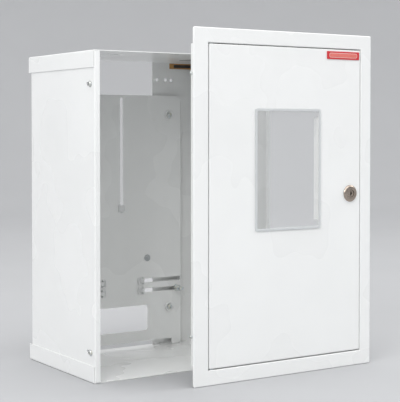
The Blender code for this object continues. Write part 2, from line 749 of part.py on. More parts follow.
def build():
    """Makes every piece, and an empty on each joint's axis for the pieces that move."""
    clear_scene()
    make_caps()
    for side, sign in SIDES.items():
        make_side(side, sign)
        make_rail(side, sign)
    make_mounting_plate()
    make_plate_fasteners()

    slider_y = PLATE_FRONT
    hanger_height = HANGER_SLOT[0] + SLIDER_SIZE / 2 + 0.001
    slider = make_slider("slider_hanger", 0.0, hanger_height, "Z")
    pivot("hanger_slide", (0.0, slider_y, hanger_height), [slider])
    for side, sign in SIDES.items():
        for level, height in SIDE_SLOT_HEIGHTS.items():
            x = sign * (SIDE_SLOT[0] + SLIDER_SIZE / 2 + 0.0008)
            slider = make_slider("slider_" + side + "_" + level, x, height, "X")
            pivot("slide_" + side + "_" + level, (x, slider_y, height), [slider])
    pivot("clamp_slide", (WING_NUT_X, PLATE_FRONT, SIDE_SLOT_HEIGHTS["lower"]), make_wing_nut())

    frame_members = make_frame_rim() + [make_lock_keeper()] + make_hinge_pins()
    frame_pivot = pivot("frame_slide", (FRAME_LEFT, FRAME_FRONT, 0.0), frame_members)
    fixed_lock, turning_lock = make_lock()
    door_members = [make_door_leaf(), make_name_plate()] + make_window() + fixed_lock
    door_pivot = pivot("door_hinge", (HINGE_X, HINGE_Y, DOOR_BOTTOM), door_members, frame_pivot)
    pivot("lock_turn", (LOCK_X, FRAME_FRONT, LOCK_HEIGHT), turning_lock, door_pivot)


build()
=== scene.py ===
"""Finished pieces, materials and studio for a recessed sheet-steel standpipe cabinet.

Laid out as an add-on and run as a script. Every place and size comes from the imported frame
or from the settings and named sizes below. Metres, +Z up, the cabinet's open front faces -Y.
"""

import math

import bmesh
import bpy
from bpy.props import FloatProperty, FloatVectorProperty, IntProperty, PointerProperty
from bpy.types import Operator, Panel, PropertyGroup
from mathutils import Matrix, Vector


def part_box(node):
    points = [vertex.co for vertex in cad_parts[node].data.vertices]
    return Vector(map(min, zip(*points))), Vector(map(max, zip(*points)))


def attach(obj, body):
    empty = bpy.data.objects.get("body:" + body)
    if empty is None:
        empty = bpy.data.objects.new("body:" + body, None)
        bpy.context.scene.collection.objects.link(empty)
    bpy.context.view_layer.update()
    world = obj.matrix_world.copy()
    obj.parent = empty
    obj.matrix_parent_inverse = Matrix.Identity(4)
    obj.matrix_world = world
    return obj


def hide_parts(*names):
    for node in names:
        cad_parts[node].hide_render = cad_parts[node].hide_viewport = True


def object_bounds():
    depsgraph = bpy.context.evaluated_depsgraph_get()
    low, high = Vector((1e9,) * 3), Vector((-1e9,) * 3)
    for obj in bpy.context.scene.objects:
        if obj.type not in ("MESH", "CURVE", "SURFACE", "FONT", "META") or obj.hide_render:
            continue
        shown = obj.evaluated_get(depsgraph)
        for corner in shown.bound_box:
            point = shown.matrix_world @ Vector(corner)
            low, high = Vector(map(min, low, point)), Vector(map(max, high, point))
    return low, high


bl_info = {
    "name": "Standpipe cabinet",
    "version": (1, 0, 0),
    "blender": (4, 5, 0),
    "location": "View3D > Sidebar > Cabinet",
    "description": "Formed sheet pieces, fasteners, lock, finishes and studio for a standpipe cabinet",
    "category": "Object",
}

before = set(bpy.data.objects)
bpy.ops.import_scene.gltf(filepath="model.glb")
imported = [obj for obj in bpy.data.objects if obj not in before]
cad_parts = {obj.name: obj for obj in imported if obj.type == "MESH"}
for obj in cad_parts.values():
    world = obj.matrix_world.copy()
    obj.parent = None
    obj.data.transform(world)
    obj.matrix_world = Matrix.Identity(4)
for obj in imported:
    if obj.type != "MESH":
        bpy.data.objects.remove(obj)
CAD_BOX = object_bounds()

SIDES = {"left": -1, "right": 1}
LEVELS = ("lower", "upper")
CORNERS = [side + "_" + level for side in SIDES for level in LEVELS]
BACK = Vector((0, 1, 0))  # the way in, from the cabinet's front to the wall behind it
TOUCH = 0.0002  # two places closer than this are the same place
SOFT_ANGLE = math.radians(35)
CLEARANCE = 0.0003  # gap between two pieces that fit into each other
OVERRUN = 0.005  # how far a cutter starts before the face that it cuts

# Sizes inside the solids, which the frame's boxes don't show

FRONT_LIP = 0.0104  # the side panels' front lips, from the outer face of the trays' rims
REAR_FLANGE = 0.044
SCREW_SLOT = (0.009, 0.027)  # a side panel's screw slot, from the panel's front
BOLT_HOLE = 0.0029  # radius of the holes for the plate's bolts
FIXING_HOLES = (0.077, 0.095, 0.106)  # the rails' fixing holes, from the cabinet's middle
FIXING_HEIGHT = 0.468

# The mounting plate's openings: where their middle is, and half their width and half their height
FEET_GAP = (0.101, 0.012)
PIPE_CUT_HEIGHT, PIPE_CUT = 0.053, (0.052, 0.022)
HANGER_SLOT_HEIGHT, HANGER_SLOT = 0.3365, (0.003, 0.099)
SIDE_SLOT_PLACE, SIDE_SLOT = 0.0745, (0.0435, 0.0032)
ENTRY_PLACE, ENTRY = 0.0399, (0.0021, 0.0064)  # the cross-cut where a slider enters its side slot


def linear(hex_colour):
    """A colour given as sRGB hex digits, as the linear red, green and blue that Blender works in."""
    parts = [int(hex_colour[start:start + 2], 16) / 255 for start in (0, 2, 4)]
    return tuple(part / 12.92 if part <= 0.04045 else ((part + 0.055) / 1.055) ** 2.4 for part in parts)


def per_metre(millimetres):
    """A texture scale that repeats a pattern once in so many millimetres."""
    return 1000.0 / millimetres


# Settings


def length(name, description, default):
    return FloatProperty(name=name, description=description, default=default, min=0.0, unit="LENGTH")


def number(name, description, default, subtype="NONE"):
    return FloatProperty(name=name, description=description, default=default, subtype=subtype)


def colour(name, description, hex_colour):
    return FloatVectorProperty(
        name=name, description=description, default=linear(hex_colour), subtype="COLOR", min=0.0, max=1.0
    )


class CabinetSizes(PropertyGroup):
    sheet: length("Sheet", "Thickness of the steel sheet", 0.0012)
    bend: length("Bend radius", "Outer radius of the folds in the wall box", 0.0020)
    front_bend: length("Front bend radius", "Outer radius of the folds in the door and surround", 0.0016)
    burr: length("Edge rounding", "Rounding that the coating gives a cut edge", 0.00028)
    plate_bend: length("Plate bend radius", "Outer radius of the mounting plate's side folds", 0.0030)
    surround_corner: length("Surround corner", "Outer radius of the front surround's corners", 0.0032)
    plate_corner: length("Plate corner", "Corner radius of the mounting plate", 0.016)
    pipe_corner: length("Pipe cut-out corner", "Corner radius of the lower pipe cut-out", 0.006)
    reveal_notch: length("Reveal notch", "Side of the square notch at each corner of the window", 0.010)


class CabinetColours(PropertyGroup):
    enamel: colour("Powder coat", "White powder coat on the sheet steel", "f4f5f4")
    zinc: colour("Zinc plate", "Clear passivated zinc on the fasteners", "dfe1e2")
    nickel: colour("Nickel plate", "Nickel plate on the lock", "b7aa9e")
    acrylic: colour("Acrylic", "Clear cast sheet in the window", "f4f7f8")
    nylon: colour("Nylon", "Pale grey moulded sliders", "eeefef")
    plug: colour("Plug", "Darker grey moulded hole plugs", "b2b6b8")
    label: colour("Label red", "Ground colour of the printed label", "d3232c")
    label_line: colour("Label line", "Pale line round the printed label's middle", "f3d9d2")
    label_field: colour("Label field", "Lighter middle of the printed label", "e57a70")
    tag: colour("Tag", "Amber paper of the tag inside the box", "b98a4e")
    tag_ink: colour("Tag ink", "Dark band on the tag", "2a2420")
    backdrop: colour("Backdrop", "Painted studio floor and sweep", "b3b4b6")


class CabinetStudio(PropertyGroup):
    camera_place: FloatVectorProperty(
        name="Camera place",
        description="Where the camera stands",
        default=(-0.97257, -1.64305, 0.38262),
        subtype="XYZ",
        unit="LENGTH",
    )
    camera_turn: number("Camera turn", "Turn to the right", math.radians(33.11), "ANGLE")
    camera_tilt: number("Camera tilt", "Tilt below level", math.radians(1.56), "ANGLE")
    lens: number("Lens", "Focal length in millimetres", 103.67)
    shift: number("Shift", "Vertical lens shift", -0.102)
    key_power: number("Key light", "Power of the light at the front left", 30.0)
    fill_power: number("Fill light", "Power of the light at the front right", 20.0)
    top_power: number("Top light", "Power of the overhead light", 13.0)
    sky: number("Room light", "Strength of the even light all round", 1.4)
    sweep_radius: length("Sweep radius", "Radius of the studio floor", 5.0)
    sweep_height: length("Sweep height", "Height of the studio's curved wall", 3.0)
    sweep_steps: IntProperty(name="Sweep steps", description="Rows in the curve of the wall", default=10)


def sizes():
    return bpy.context.scene.cabinet_sizes


def colours():
    return bpy.context.scene.cabinet_colours


# Working in object and edit mode


def deselect():
    if bpy.context.mode != "OBJECT":
        bpy.ops.object.mode_set(mode="OBJECT")
    bpy.ops.object.select_all(action="DESELECT")


def take(piece):
    """Makes a piece the only selected and active object."""
    deselect()
    piece.select_set(True)
    bpy.context.view_layer.objects.active = piece


def settle(piece):
    """Moves a piece's place, turn and scale into its mesh."""
    take(piece)
    bpy.ops.object.transform_apply(location=True, rotation=True, scale=True)


def pick(piece, kind, test):
    """Goes into edit mode and selects the corners, edges or faces that pass the test."""
    take(piece)
    bpy.ops.object.mode_set(mode="EDIT")
    bpy.ops.mesh.select_mode(type=kind)
    bpy.ops.mesh.select_all(action="DESELECT")
    mesh = bmesh.from_edit_mesh(piece.data)
    for element in {"VERT": mesh.verts, "EDGE": mesh.edges, "FACE": mesh.faces}[kind]:
        if test(element):
            element.select_set(True)
    mesh.select_flush_mode()
    bmesh.update_edit_mesh(piece.data)


def pick_all(piece):
    """Goes into edit mode with the whole mesh selected."""
    take(piece)
    bpy.ops.object.mode_set(mode="EDIT")
    bpy.ops.mesh.select_all(action="SELECT")


# Tests for pick


def anything(element):
    return True


def middle(element):
    if isinstance(element, bmesh.types.BMVert):
        return element.co.copy()
    return sum((vert.co for vert in element.verts), Vector()) / len(element.verts)


def at(axis, value):
    """A test: the element's middle lies at this value on the axis."""
    return lambda element: abs(middle(element)[axis] - value) < TOUCH


def lies_at(axis, value):
    """A test: every corner of the element lies at this value on the axis."""
    return lambda element: all(abs(vert.co[axis] - value) < TOUCH for vert in element.verts)


def inside(axis, low, high):
    """A test: every corner lies within these limits on the axis."""
    start, end = low[axis] - TOUCH, high[axis] + TOUCH
    return lambda element: all(start < vert.co[axis] < end for vert in element.verts)


def both(*tests):
    return lambda element: all(test(element) for test in tests)


def either(*tests):
    return lambda element: any(test(element) for test in tests)


def on_rectangle(low, high):
    """A test: the edge lies along the X-Z rectangle, whatever its depth."""
    left_right = either(lies_at(0, low[0]), lies_at(0, high[0]))
    below_above = either(lies_at(2, low[2]), lies_at(2, high[2]))
    return both(either(left_right, below_above), inside(0, low, high), inside(2, low, high))


def corner_folds(low, high, depth):
    """A test: the edge runs back at the left or right side, further than a depth."""
    return both(
        lambda edge: abs(edge.verts[0].co.y - edge.verts[1].co.y) > depth,
        either(at(0, low.x), at(0, high.x)),
    )


# Forming sheet


def fold_out(piece, test, move):
    """Extrudes the picked edges by a move, as a sheet is folded along them."""
    pick(piece, "EDGE", test)
    bpy.ops.mesh.extrude_region_move(TRANSFORM_OT_translate={"value": move})


def round_bends(piece, test, radius, segments=4):
    pick(piece, "EDGE", test)
    bpy.ops.mesh.bevel(offset=radius, offset_type="OFFSET", segments=segments, affect="EDGES")


def face_towards(piece, place, direction):
    """Turns the whole sheet so that its face nearest to a place looks in a direction."""
    pick_all(piece)
    bpy.ops.mesh.normals_make_consistent(inside=False)
    mesh = bmesh.from_edit_mesh(piece.data)
    nearest = min(mesh.faces, key=lambda face: (face.calc_center_median() - Vector(place)).length)
    if nearest.normal.dot(Vector(direction)) < 0:
        bpy.ops.mesh.flip_normals()
    bpy.ops.object.mode_set(mode="OBJECT")


def close_shell(piece):
    """Merges doubles and turns every face of a closed shell outwards."""
    pick_all(piece)
    bpy.ops.mesh.remove_doubles(threshold=0.000005)
    bpy.ops.mesh.normals_make_consistent(inside=False)
    bpy.ops.object.mode_set(mode="OBJECT")


def apply_modifier(piece, kind, **settings):
    take(piece)
    modifier = piece.modifiers.new(kind.lower(), kind)
    for name, value in settings.items():
        setattr(modifier, name, value)
    bpy.ops.object.modifier_apply(modifier=modifier.name)


def thicken(piece, place, direction=-BACK, thickness=None):
    """Gives a folded sheet its thickness, inwards from the face that looks in a direction at a place."""
    face_towards(piece, place, direction)
    thickness = thickness or sizes().sheet
    apply_modifier(piece, "SOLIDIFY", thickness=thickness, offset=-1.0, use_even_offset=True)
    close_shell(piece)


def cut(piece, *cutters, operation="DIFFERENCE"):
    for cutter in cutters:
        close_shell(cutter)
        apply_modifier(piece, "BOOLEAN", solver="EXACT", operation=operation, object=cutter)
        bpy.data.objects.remove(cutter)


def soften(piece, width, segments=2):
    """Rounds the sharp edges a little, and shades the piece smooth but for its real edges."""
    close_shell(piece)
    angle = math.radians(40)
    apply_modifier(piece, "BEVEL", width=width, segments=segments, limit_method="ANGLE", angle_limit=angle)
    take(piece)
    bpy.ops.object.shade_smooth_by_angle(angle=SOFT_ANGLE)
    apply_modifier(piece, "WEIGHTED_NORMAL", mode="FACE_AREA", weight=50, keep_sharp=True)


# Starting shapes


def name_it(name):
    piece = bpy.context.object
    piece.name = name
    piece.data.name = name
    return piece


def plane_between(name, low, high):
    """A plane that spans two opposite corners which share one coordinate."""
    low, high = Vector(low), Vector(high)
    span = high - low
    flat = min(range(3), key=lambda axis: abs(span[axis]))
    turn = ((0.0, math.pi / 2, 0.0), (math.pi / 2, 0.0, 0.0), (0.0, 0.0, 0.0))[flat]
    scale = ((span.z, span.y, 1.0), (span.x, span.z, 1.0), (span.x, span.y, 1.0))[flat]
    deselect()
    bpy.ops.mesh.primitive_plane_add(size=1.0, location=(low + high) / 2, rotation=turn)
    piece = name_it(name)
    piece.scale = [abs(value) for value in scale]
    settle(piece)
    return piece


def block_between(name, start, end):
    """A block that spans two opposite corners."""
    start, end = Vector(start), Vector(end)
    deselect()
    bpy.ops.mesh.primitive_cube_add(size=1.0, location=(start + end) / 2)
    piece = name_it(name)
    piece.scale = [abs(value) for value in end - start]
    settle(piece)
    return piece


def rounded_block(name, start, end, radius, segments=6, axis=1):
    """A block that spans two opposite corners, its four edges along one axis rounded."""
    flat_end, move = Vector(end), Vector()
    flat_end[axis] = start[axis]
    move[axis] = end[axis] - start[axis]
    piece = plane_between(name, start, flat_end)
    pick(piece, "VERT", anything)
    bpy.ops.mesh.bevel(offset=radius, segments=segments, affect="VERTICES")
    pick(piece, "FACE", anything)
    bpy.ops.mesh.extrude_region_move(TRANSFORM_OT_translate={"value": move})
    close_shell(piece)
    return piece


def about(x, z, halves, start, end):
    """Opposite corners of a block about an axis along Y, from one depth to another."""
    return (x - halves[0], start, z - halves[1]), (x + halves[0], end, z + halves[1])


def turned(name, start, steps, direction=BACK, sides=48):
    """A turned piece grown from a disc. Each step is (radius, distance along the axis)."""
    start, direction = Vector(start), Vector(direction)
    radius, along = steps[0]
    deselect()
    bpy.ops.mesh.primitive_circle_add(
        vertices=sides,
        radius=radius,
        fill_type="NGON",
        location=start + direction * along,
        rotation=direction.to_track_quat("Z", "Y").to_euler(),
    )
    piece = name_it(name)
    settle(piece)
    pick(piece, "FACE", anything)
    for next_radius, next_along in steps[1:]:
        move = direction * (next_along - along)
        bpy.ops.mesh.extrude_region_move(TRANSFORM_OT_translate={"value": move})
        share = next_radius / radius
        bpy.ops.transform.resize(value=(share, share, share), center_override=start + direction * next_along)
        radius, along = next_radius, next_along
    close_shell(piece)
    return piece


def drill(start, radius, length, direction=BACK, sides=32):
    """A cutter for a round hole."""
    return turned("drill", start, [(radius, 0.0), (radius, length)], direction, sides)


def cross_recess(place, direction, depth, reach, width):
    """Two crossing cutters for a cross-slot driver, from a place on the head's face into the head."""
    place, direction = Vector(place), Vector(direction)
    ends = place - direction * 0.002, place + direction * depth
    across = [axis for axis in range(3) if abs(direction[axis]) < 0.5]
    cutters = []
    for long_axis, short_axis in (across, across[::-1]):
        half = Vector()
        half[long_axis] = reach
        half[short_axis] = width / 2
        low = Vector(min(pair) for pair in zip(*ends)) - half
        high = Vector(max(pair) for pair in zip(*ends)) + half
        cutters.append(block_between("driver_cut", low, high))
    return cutters


def hexagon(name, seat, corner_radius, bore_radius, thickness):
    """A nut on an axis along +Y, starting at its seat, with its corners turned off on both faces."""
    seat = Vector(seat)
    deselect()
    bpy.ops.mesh.primitive_cylinder_add(
        vertices=6,
        radius=corner_radius,
        depth=thickness,
        location=seat + BACK * thickness / 2,
        rotation=(math.pi / 2, math.radians(30), 0),
    )
    nut = name_it(name)
    settle(nut)
    chamfer = corner_radius * 0.14
    widest = corner_radius * 1.02
    face = widest - chamfer * 1.6
    profile = [(face, 0.0), (widest, chamfer), (widest, thickness - chamfer), (face, thickness)]
    cut(nut, turned("nut_profile", seat, profile), operation="INTERSECT")
    cut(nut, drill(seat - BACK * OVERRUN, bore_radius, thickness + 2 * OVERRUN))
    return nut


def copy_to(piece, name, move):
    """A copy with its own mesh, moved in its mesh."""
    copy = piece.copy()
    copy.data = piece.data.copy()
    bpy.context.scene.collection.objects.link(copy)
    copy.name = name
    copy.data.name = name
    copy.location = Vector(move)
    settle(copy)
    return copy


def middle_of(node):
    low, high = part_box(node)
    return (low + high) / 2


def front_of(node):
    """The middle of a node's front, where a piece on an axis along Y starts."""
    low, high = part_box(node)
    return Vector(((low.x + high.x) / 2, low.y, (low.z + high.z) / 2))


def depth_of(node):
    low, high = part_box(node)
    return high.y - low.y


def coat(piece, material):
    piece.data.materials.clear()
    piece.data.materials.append(material)


def finish(piece, material, body, slot, *nodes):
    """Coats a piece, says what it rides on, and hides the nodes that it stands for. The slot is not used."""
    coat(piece, material)
    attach(piece, body)
    if nodes:
        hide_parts(*nodes)


def finish_sheet(piece, body, node):
    """The last steps for a piece of painted sheet."""
    soften(piece, sizes().burr)
    finish(piece, powder_coat(), body, "white_enamel", node)


def finish_zinc(piece, rounding, body, node):
    """The last steps for a zinc plated piece."""
    soften(piece, rounding)
    finish(piece, zinc_plate(), body, "zinc_steel", node)


# Materials


def fill_sockets(tree, node, sockets):
    for socket, value in sockets.items():
        if isinstance(value, bpy.types.NodeSocket):
            tree.links.new(value, node.inputs[socket])
        else:
            node.inputs[socket].default_value = value


def add_node(tree, kind, sockets=None, **settings):
    """Adds a node, sets it, and sets or links its sockets."""
    made = tree.nodes.new(kind)
    for name, value in settings.items():
        setattr(made, name, value)
    fill_sockets(tree, made, sockets or {})
    return made


def shade(ground, *shares):
    """A colour taken down by one share, or its red, green and blue by a share each."""
    return (*[part * share for part, share in zip(ground, shares * 3)], 1.0)


def surface(name, patterns, sockets, tone=None, roughness=None, relief=()):
    """A material whose tone, roughness and relief follow noise patterns in the piece's own mesh.

    Each pattern is its size in millimetres, its detail and its roughness. The tone and the roughness
    name a pattern, and two values between which they run over the pattern's middle range. Each
    relief is a pattern, a strength and a height, the broadest first.
    """
    material = bpy.data.materials.get(name)
    if material:
        return material
    material = bpy.data.materials.new(name)
    material.use_nodes = True
    tree = material.node_tree
    place = add_node(tree, "ShaderNodeTexCoord").outputs["Object"]
    noise = {}
    for pattern, (millimetres, detail, rough) in patterns.items():
        texture = {"Vector": place, "Scale": per_metre(millimetres), "Detail": detail, "Roughness": rough}
        noise[pattern] = add_node(tree, "ShaderNodeTexNoise", texture).outputs["Fac"]
    shares = {}
    for socket, wanted in (("Base Color", tone), ("Roughness", roughness)):
        if wanted:
            pattern, low, high = wanted
            ends = (low, high) if socket == "Roughness" else (0.0, 1.0)
            spread = {"From Min": 0.35, "From Max": 0.65, "To Min": ends[0], "To Max": ends[1]}
            made = add_node(tree, "ShaderNodeMapRange", {"Value": noise[pattern], **spread})
            shares[socket] = made.outputs["Result"]
    if tone:
        ends = {"Factor": shares["Base Color"], 6: tone[1], 7: tone[2]}
        shares["Base Color"] = add_node(tree, "ShaderNodeMix", ends, data_type="RGBA").outputs[2]
    for pattern, strength, height in relief:
        bump = {"Height": noise[pattern], "Strength": strength, "Distance": height}
        if "Normal" in shares:
            bump["Normal"] = shares["Normal"]
        shares["Normal"] = add_node(tree, "ShaderNodeBump", bump).outputs["Normal"]
    fill_sockets(tree, tree.nodes["Principled BSDF"], {**sockets, **shares})
    return material


def powder_coat():
    """White polyester powder on steel, sprayed and stoved: a satin skin with a fine orange peel.

    The peel is about 3 mm from crest to crest and so low that it only breaks up highlights. A slow
    drift of a few per cent in tone and gloss over a hand's width, and a slight wave in the sheet
    under it, keep large panels from looking like paper.
    """
    enamel = colours().enamel
    return surface(
        "white_powder_coat",
        {"drift": (140, 2.0, 0.5), "sheet_wave": (90, 1.0, 0.5), "peel": (3.0, 2.0, 0.4)},
        {"IOR": 1.5, "Coat Weight": 0.35, "Coat Roughness": 0.10},
        tone=("drift", shade(enamel, 0.965), shade(enamel, 1.0)),
        roughness=("drift", 0.24, 0.32),
        relief=[("sheet_wave", 0.35, 0.0006), ("peel", 0.1, 0.000004)],
    )


def zinc_plate():
    """Zinc plated and clear passivated steel: bright, faintly blue and straw in patches, slightly dull."""
    zinc = colours().zinc
    return surface(
        "zinc_plated_steel",
        {"patches": (5.0, 3.0, 0.5), "grain": (0.5, 2.0, 0.5)},
        {"Metallic": 1.0},
        tone=("patches", shade(zinc, 0.90, 0.95, 1.0), shade(zinc, 1.0, 0.97, 0.86)),
        roughness=("grain", 0.26, 0.40),
        relief=[("grain", 0.3, 0.00002)],
    )


def nickel_plate(centre):
    """Nickel on turned brass: warm, bright, with the turning's rings left under the plate."""
    nickel = colours().nickel
    material = surface(
        "nickel_plated_brass",
        {"smears": (4.0, 3.0, 0.5)},
        {"Metallic": 1.0},
        tone=("smears", shade(nickel, 0.86), shade(nickel, 1.0)),
        roughness=("smears", 0.16, 0.28),
    )
    tree = material.node_tree
    place = tree.nodes["Texture Coordinate"].outputs["Object"]
    centred = add_node(tree, "ShaderNodeMapping", {"Vector": place, "Location": [-value for value in centre]})
    # The wave node counts twenty radians to a unit, so this is one ring in 1.579 mm.
    scale = per_metre(1.579) * math.tau / 20
    rings = add_node(
        tree,
        "ShaderNodeTexWave",
        {"Vector": centred.outputs["Vector"], "Scale": scale, "Distortion": 0.4, "Detail": 1.0},
        wave_type="RINGS",
        rings_direction="Y",
    )
    bump = {"Height": rings.outputs["Fac"], "Strength": 0.25, "Distance": 0.00003}
    skin = add_node(tree, "ShaderNodeBump", bump).outputs["Normal"]
    fill_sockets(tree, tree.nodes["Principled BSDF"], {"Normal": skin})
    return material


def clear_acrylic():
    """Cast acrylic sheet: clear and polished, with the faintest haze where it has been wiped.

    Light passes straight through both faces, so the neck behind the sheet stays as bright as it is.
    """
    return surface(
        "clear_cast_acrylic",
        {"wiped": (45, 4.0, 0.5)},
        {"Base Color": shade(colours().acrylic, 1.0), "IOR": 1.49, "Alpha": 0.07},
        roughness=("wiped", 0.01, 0.05),
    )


def frosted_acrylic():
    """Extruded acrylic bead with a frosted skin: pale and half clear, so the opening has a light edge."""
    return surface(
        "frosted_extruded_acrylic",
        {"frost": (1.2, 3.0, 0.5)},
        {"Base Color": shade(colours().acrylic, 0.86), "Transmission Weight": 0.25, "IOR": 1.49},
        roughness=("frost", 0.30, 0.45),
    )


def moulded_nylon(name, ground):
    """Moulded grey nylon: even and matt, with the fine spark texture of its mould."""
    return surface(
        name,
        {"spark": (0.6, 2.0, 0.5)},
        {"IOR": 1.53},
        tone=("spark", shade(ground, 0.93), shade(ground, 1.0)),
        roughness=("spark", 0.46, 0.58),
        relief=[("spark", 0.4, 0.00004)],
    )


def printed_vinyl(name, ground):
    """Screen-printed vinyl under a gloss varnish: dense ink with a slight flow in the varnish."""
    return surface(
        name,
        {"flow": (2.5, 2.0, 0.5)},
        {"Coat Weight": 0.3, "Coat Roughness": 0.12},
        tone=("flow", shade(ground, 0.92), shade(ground, 1.0)),
        roughness=("flow", 0.30, 0.38),
        relief=[("flow", 0.2, 0.00003)],
    )


def backdrop_paint():
    """Matt emulsion on the studio sweep: pale, with a roller's faint mottle."""
    backdrop = colours().backdrop
    return surface(
        "matt_backdrop_paint",
        {"mottle": (300, 2.0, 0.5)},
        {"Roughness": 0.9, "Specular IOR Level": 0.2},
        tone=("mottle", shade(backdrop, 0.985), shade(backdrop, 1.0)),
    )


# Wall box


class CABINET_OT_trays(Operator):
    """Make the top and bottom trays, each a plate with a rim folded along both sides"""

    bl_idname = "cabinet.trays"
    bl_label = "Top and bottom trays"

    def execute(self, context):
        for node, name, up in (("bottom_cap", "bottom_tray", 1), ("top_cap", "top_tray", -1)):
            low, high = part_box(node)
            level = low.z if up > 0 else high.z
            tray = plane_between(name, (low.x, low.y, level), (high.x, high.y, level))
            side_edges = either(at(0, low.x), at(0, high.x))
            fold_out(tray, side_edges, (0, 0, up * (high.z - low.z)))
            round_bends(tray, both(side_edges, at(2, level)), sizes().bend)
            thicken(tray, (0, 0, level), (0, 0, -up))
            finish_sheet(tray, "box", node)
        return {"FINISHED"}


def bolt_drills(side):
    """Cutters for one side's two plate bolts, through plate, rail and flange."""
    drills = []
    for level in LEVELS:
        screw = "plate_screw_" + side + "_" + level
        drills.append(drill(front_of(screw), BOLT_HOLE, depth_of(screw) + 2 * OVERRUN))
    return drills


class CABINET_OT_side_panels(Operator):
    """Make the side panels, each with a front lip, a rear flange and two screw slots"""

    bl_idname = "cabinet.side_panels"
    bl_label = "Side panels"

    def execute(self, context):
        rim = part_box("top_cap")[1].x
        slot_half, slot_corner = 0.0030, 0.0029
        for side, sign in SIDES.items():
            low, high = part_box("side_" + side)
            wall = sign * (rim - sizes().sheet - CLEARANCE)
            panel = plane_between("side_panel_" + side, (wall, low.y, low.z), (wall, high.y, high.z))
            fold_out(panel, at(1, low.y), (sign * (rim - FRONT_LIP) - wall, 0, 0))
            fold_out(panel, both(at(1, high.y), at(0, wall)), (-sign * REAR_FLANGE, 0, 0))
            bends = both(at(0, wall), either(at(1, low.y), at(1, high.y)))
            round_bends(panel, bends, sizes().bend)
            thicken(panel, (wall, 0, high.z / 2), (sign, 0, 0))
            for level in LEVELS:
                screw = middle_of("side_screw_" + side + "_" + level)
                start = (wall - sign * OVERRUN, low.y + SCREW_SLOT[0], screw.z - slot_half)
                end = (wall + sign * OVERRUN, low.y + SCREW_SLOT[1], screw.z + slot_half)
                cut(panel, rounded_block("screw_slot", start, end, slot_corner, axis=0))
            cut(panel, *bolt_drills(side))
            finish_sheet(panel, "box", "side_" + side)
        return {"FINISHED"}


class CABINET_OT_back_rails(Operator):
    """Make the two flat rails behind the mounting plate, with their fixing holes"""

    bl_idname = "cabinet.back_rails"
    bl_label = "Back rails"

    def execute(self, context):
        for side, sign in SIDES.items():
            low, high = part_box("rear_rail_" + side)
            rail = plane_between("back_rail_" + side, (low.x, low.y, low.z), (high.x, low.y, high.z))
            thicken(rail, low)
            for place in FIXING_HOLES:
                hole = (sign * place, low.y - OVERRUN, FIXING_HEIGHT)
                cut(rail, drill(hole, 0.0026, 2 * OVERRUN, sides=24))
            cut(rail, *bolt_drills(side))
            finish_sheet(rail, "box", "rear_rail_" + side)
        return {"FINISHED"}


class CABINET_OT_mounting_plate(Operator):
    """Make the mounting plate with round corners, folded sides, slots and the pipe cut-out"""

    bl_idname = "cabinet.mounting_plate"
    bl_label = "Mounting plate"

    def execute(self, context):
        low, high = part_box("mounting_plate")
        face = low.y
        before, beyond = face - 0.01, face + 0.02
        plate = plane_between("valve_plate", (low.x, face, low.z), (high.x, face, high.z))
        side_edges = either(at(0, low.x), at(0, high.x))
        fold_out(plate, side_edges, (0, high.y - face, 0))
        round_bends(plate, both(side_edges, at(1, face)), sizes().plate_bend, 6)
        thicken(plate, (0, face, high.z / 2))
        corner, margin = sizes().plate_corner, 0.0001
        start = (low.x - margin, before, low.z - 2 * corner)
        outline = rounded_block("plate_outline", start, (high.x + margin, beyond, high.z), corner, 10)
        cut(plate, outline, operation="INTERSECT")
        for height, halves, radius, segments in (
            (0.0, FEET_GAP, 0.003, 6),
            (PIPE_CUT_HEIGHT, PIPE_CUT, sizes().pipe_corner, 6),
            (HANGER_SLOT_HEIGHT, HANGER_SLOT, 0.001, 3),
        ):
            ends = about(0.0, height, halves, before, beyond)
            cut(plate, rounded_block("opening", *ends, radius, segments))
        for side, sign in SIDES.items():
            for level in LEVELS:
                height = middle_of("slider_" + side + "_" + level).z
                slot = about(sign * SIDE_SLOT_PLACE, height, SIDE_SLOT, before, beyond)
                entry = about(sign * ENTRY_PLACE, height, ENTRY, before, beyond)
                cut(plate, rounded_block("side_slot", *slot, 0.0008, 2), block_between("entry", *entry))
            plug = middle_of("hole_plug_" + side)
            cut(plate, drill((plug.x, before, plug.z), 0.0040, beyond - before), *bolt_drills(side))
        finish_sheet(plate, "box", "mounting_plate")
        return {"FINISHED"}


# Fasteners


def screw_pair(side, node, name, body, steps, head):
    """One side's lower and upper screw, turned outwards from the inner end.

    The cross recess is in the face at the distance called head: 0, or the whole length.
    """
    sign = SIDES[side]
    low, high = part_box(node + side + "_lower")
    centre = (low + high) / 2
    inner_end = low.x if sign > 0 else high.x
    screw = turned(name + side + "_lower", (inner_end, centre.y, centre.z), steps, (sign, 0, 0))
    face = (inner_end + sign * head, centre.y, centre.z)
    cut(screw, *cross_recess(face, (-sign if head else sign, 0, 0), 0.0014, 0.0018, 0.0008))
    soften(screw, 0.0001)
    rise = middle_of(node + side + "_upper").z - centre.z
    upper = copy_to(screw, name + side + "_upper", (0, 0, rise))
    for level, piece in zip(LEVELS, (screw, upper)):
        finish(piece, zinc_plate(), body, "zinc_steel", node + side + "_" + level)


class CABINET_OT_side_screws(Operator):
    """Make the pan-head screws and washers in the side panels' slots"""

    bl_idname = "cabinet.side_screws"
    bl_label = "Side screws"

    def execute(self, context):
        steps = [
            (0.0014, 0.0), (0.0020, 0.0006), (0.0020, 0.0080), (0.0046, 0.0080), (0.0046, 0.0089),
            (0.0037, 0.0089), (0.0037, 0.0099), (0.0034, 0.0105), (0.0027, 0.0110), (0.0014, 0.0112),
        ]
        for side in SIDES:
            screw_pair(side, "side_screw_", "side_pan_screw_", "box", steps, steps[-1][1])
        return {"FINISHED"}


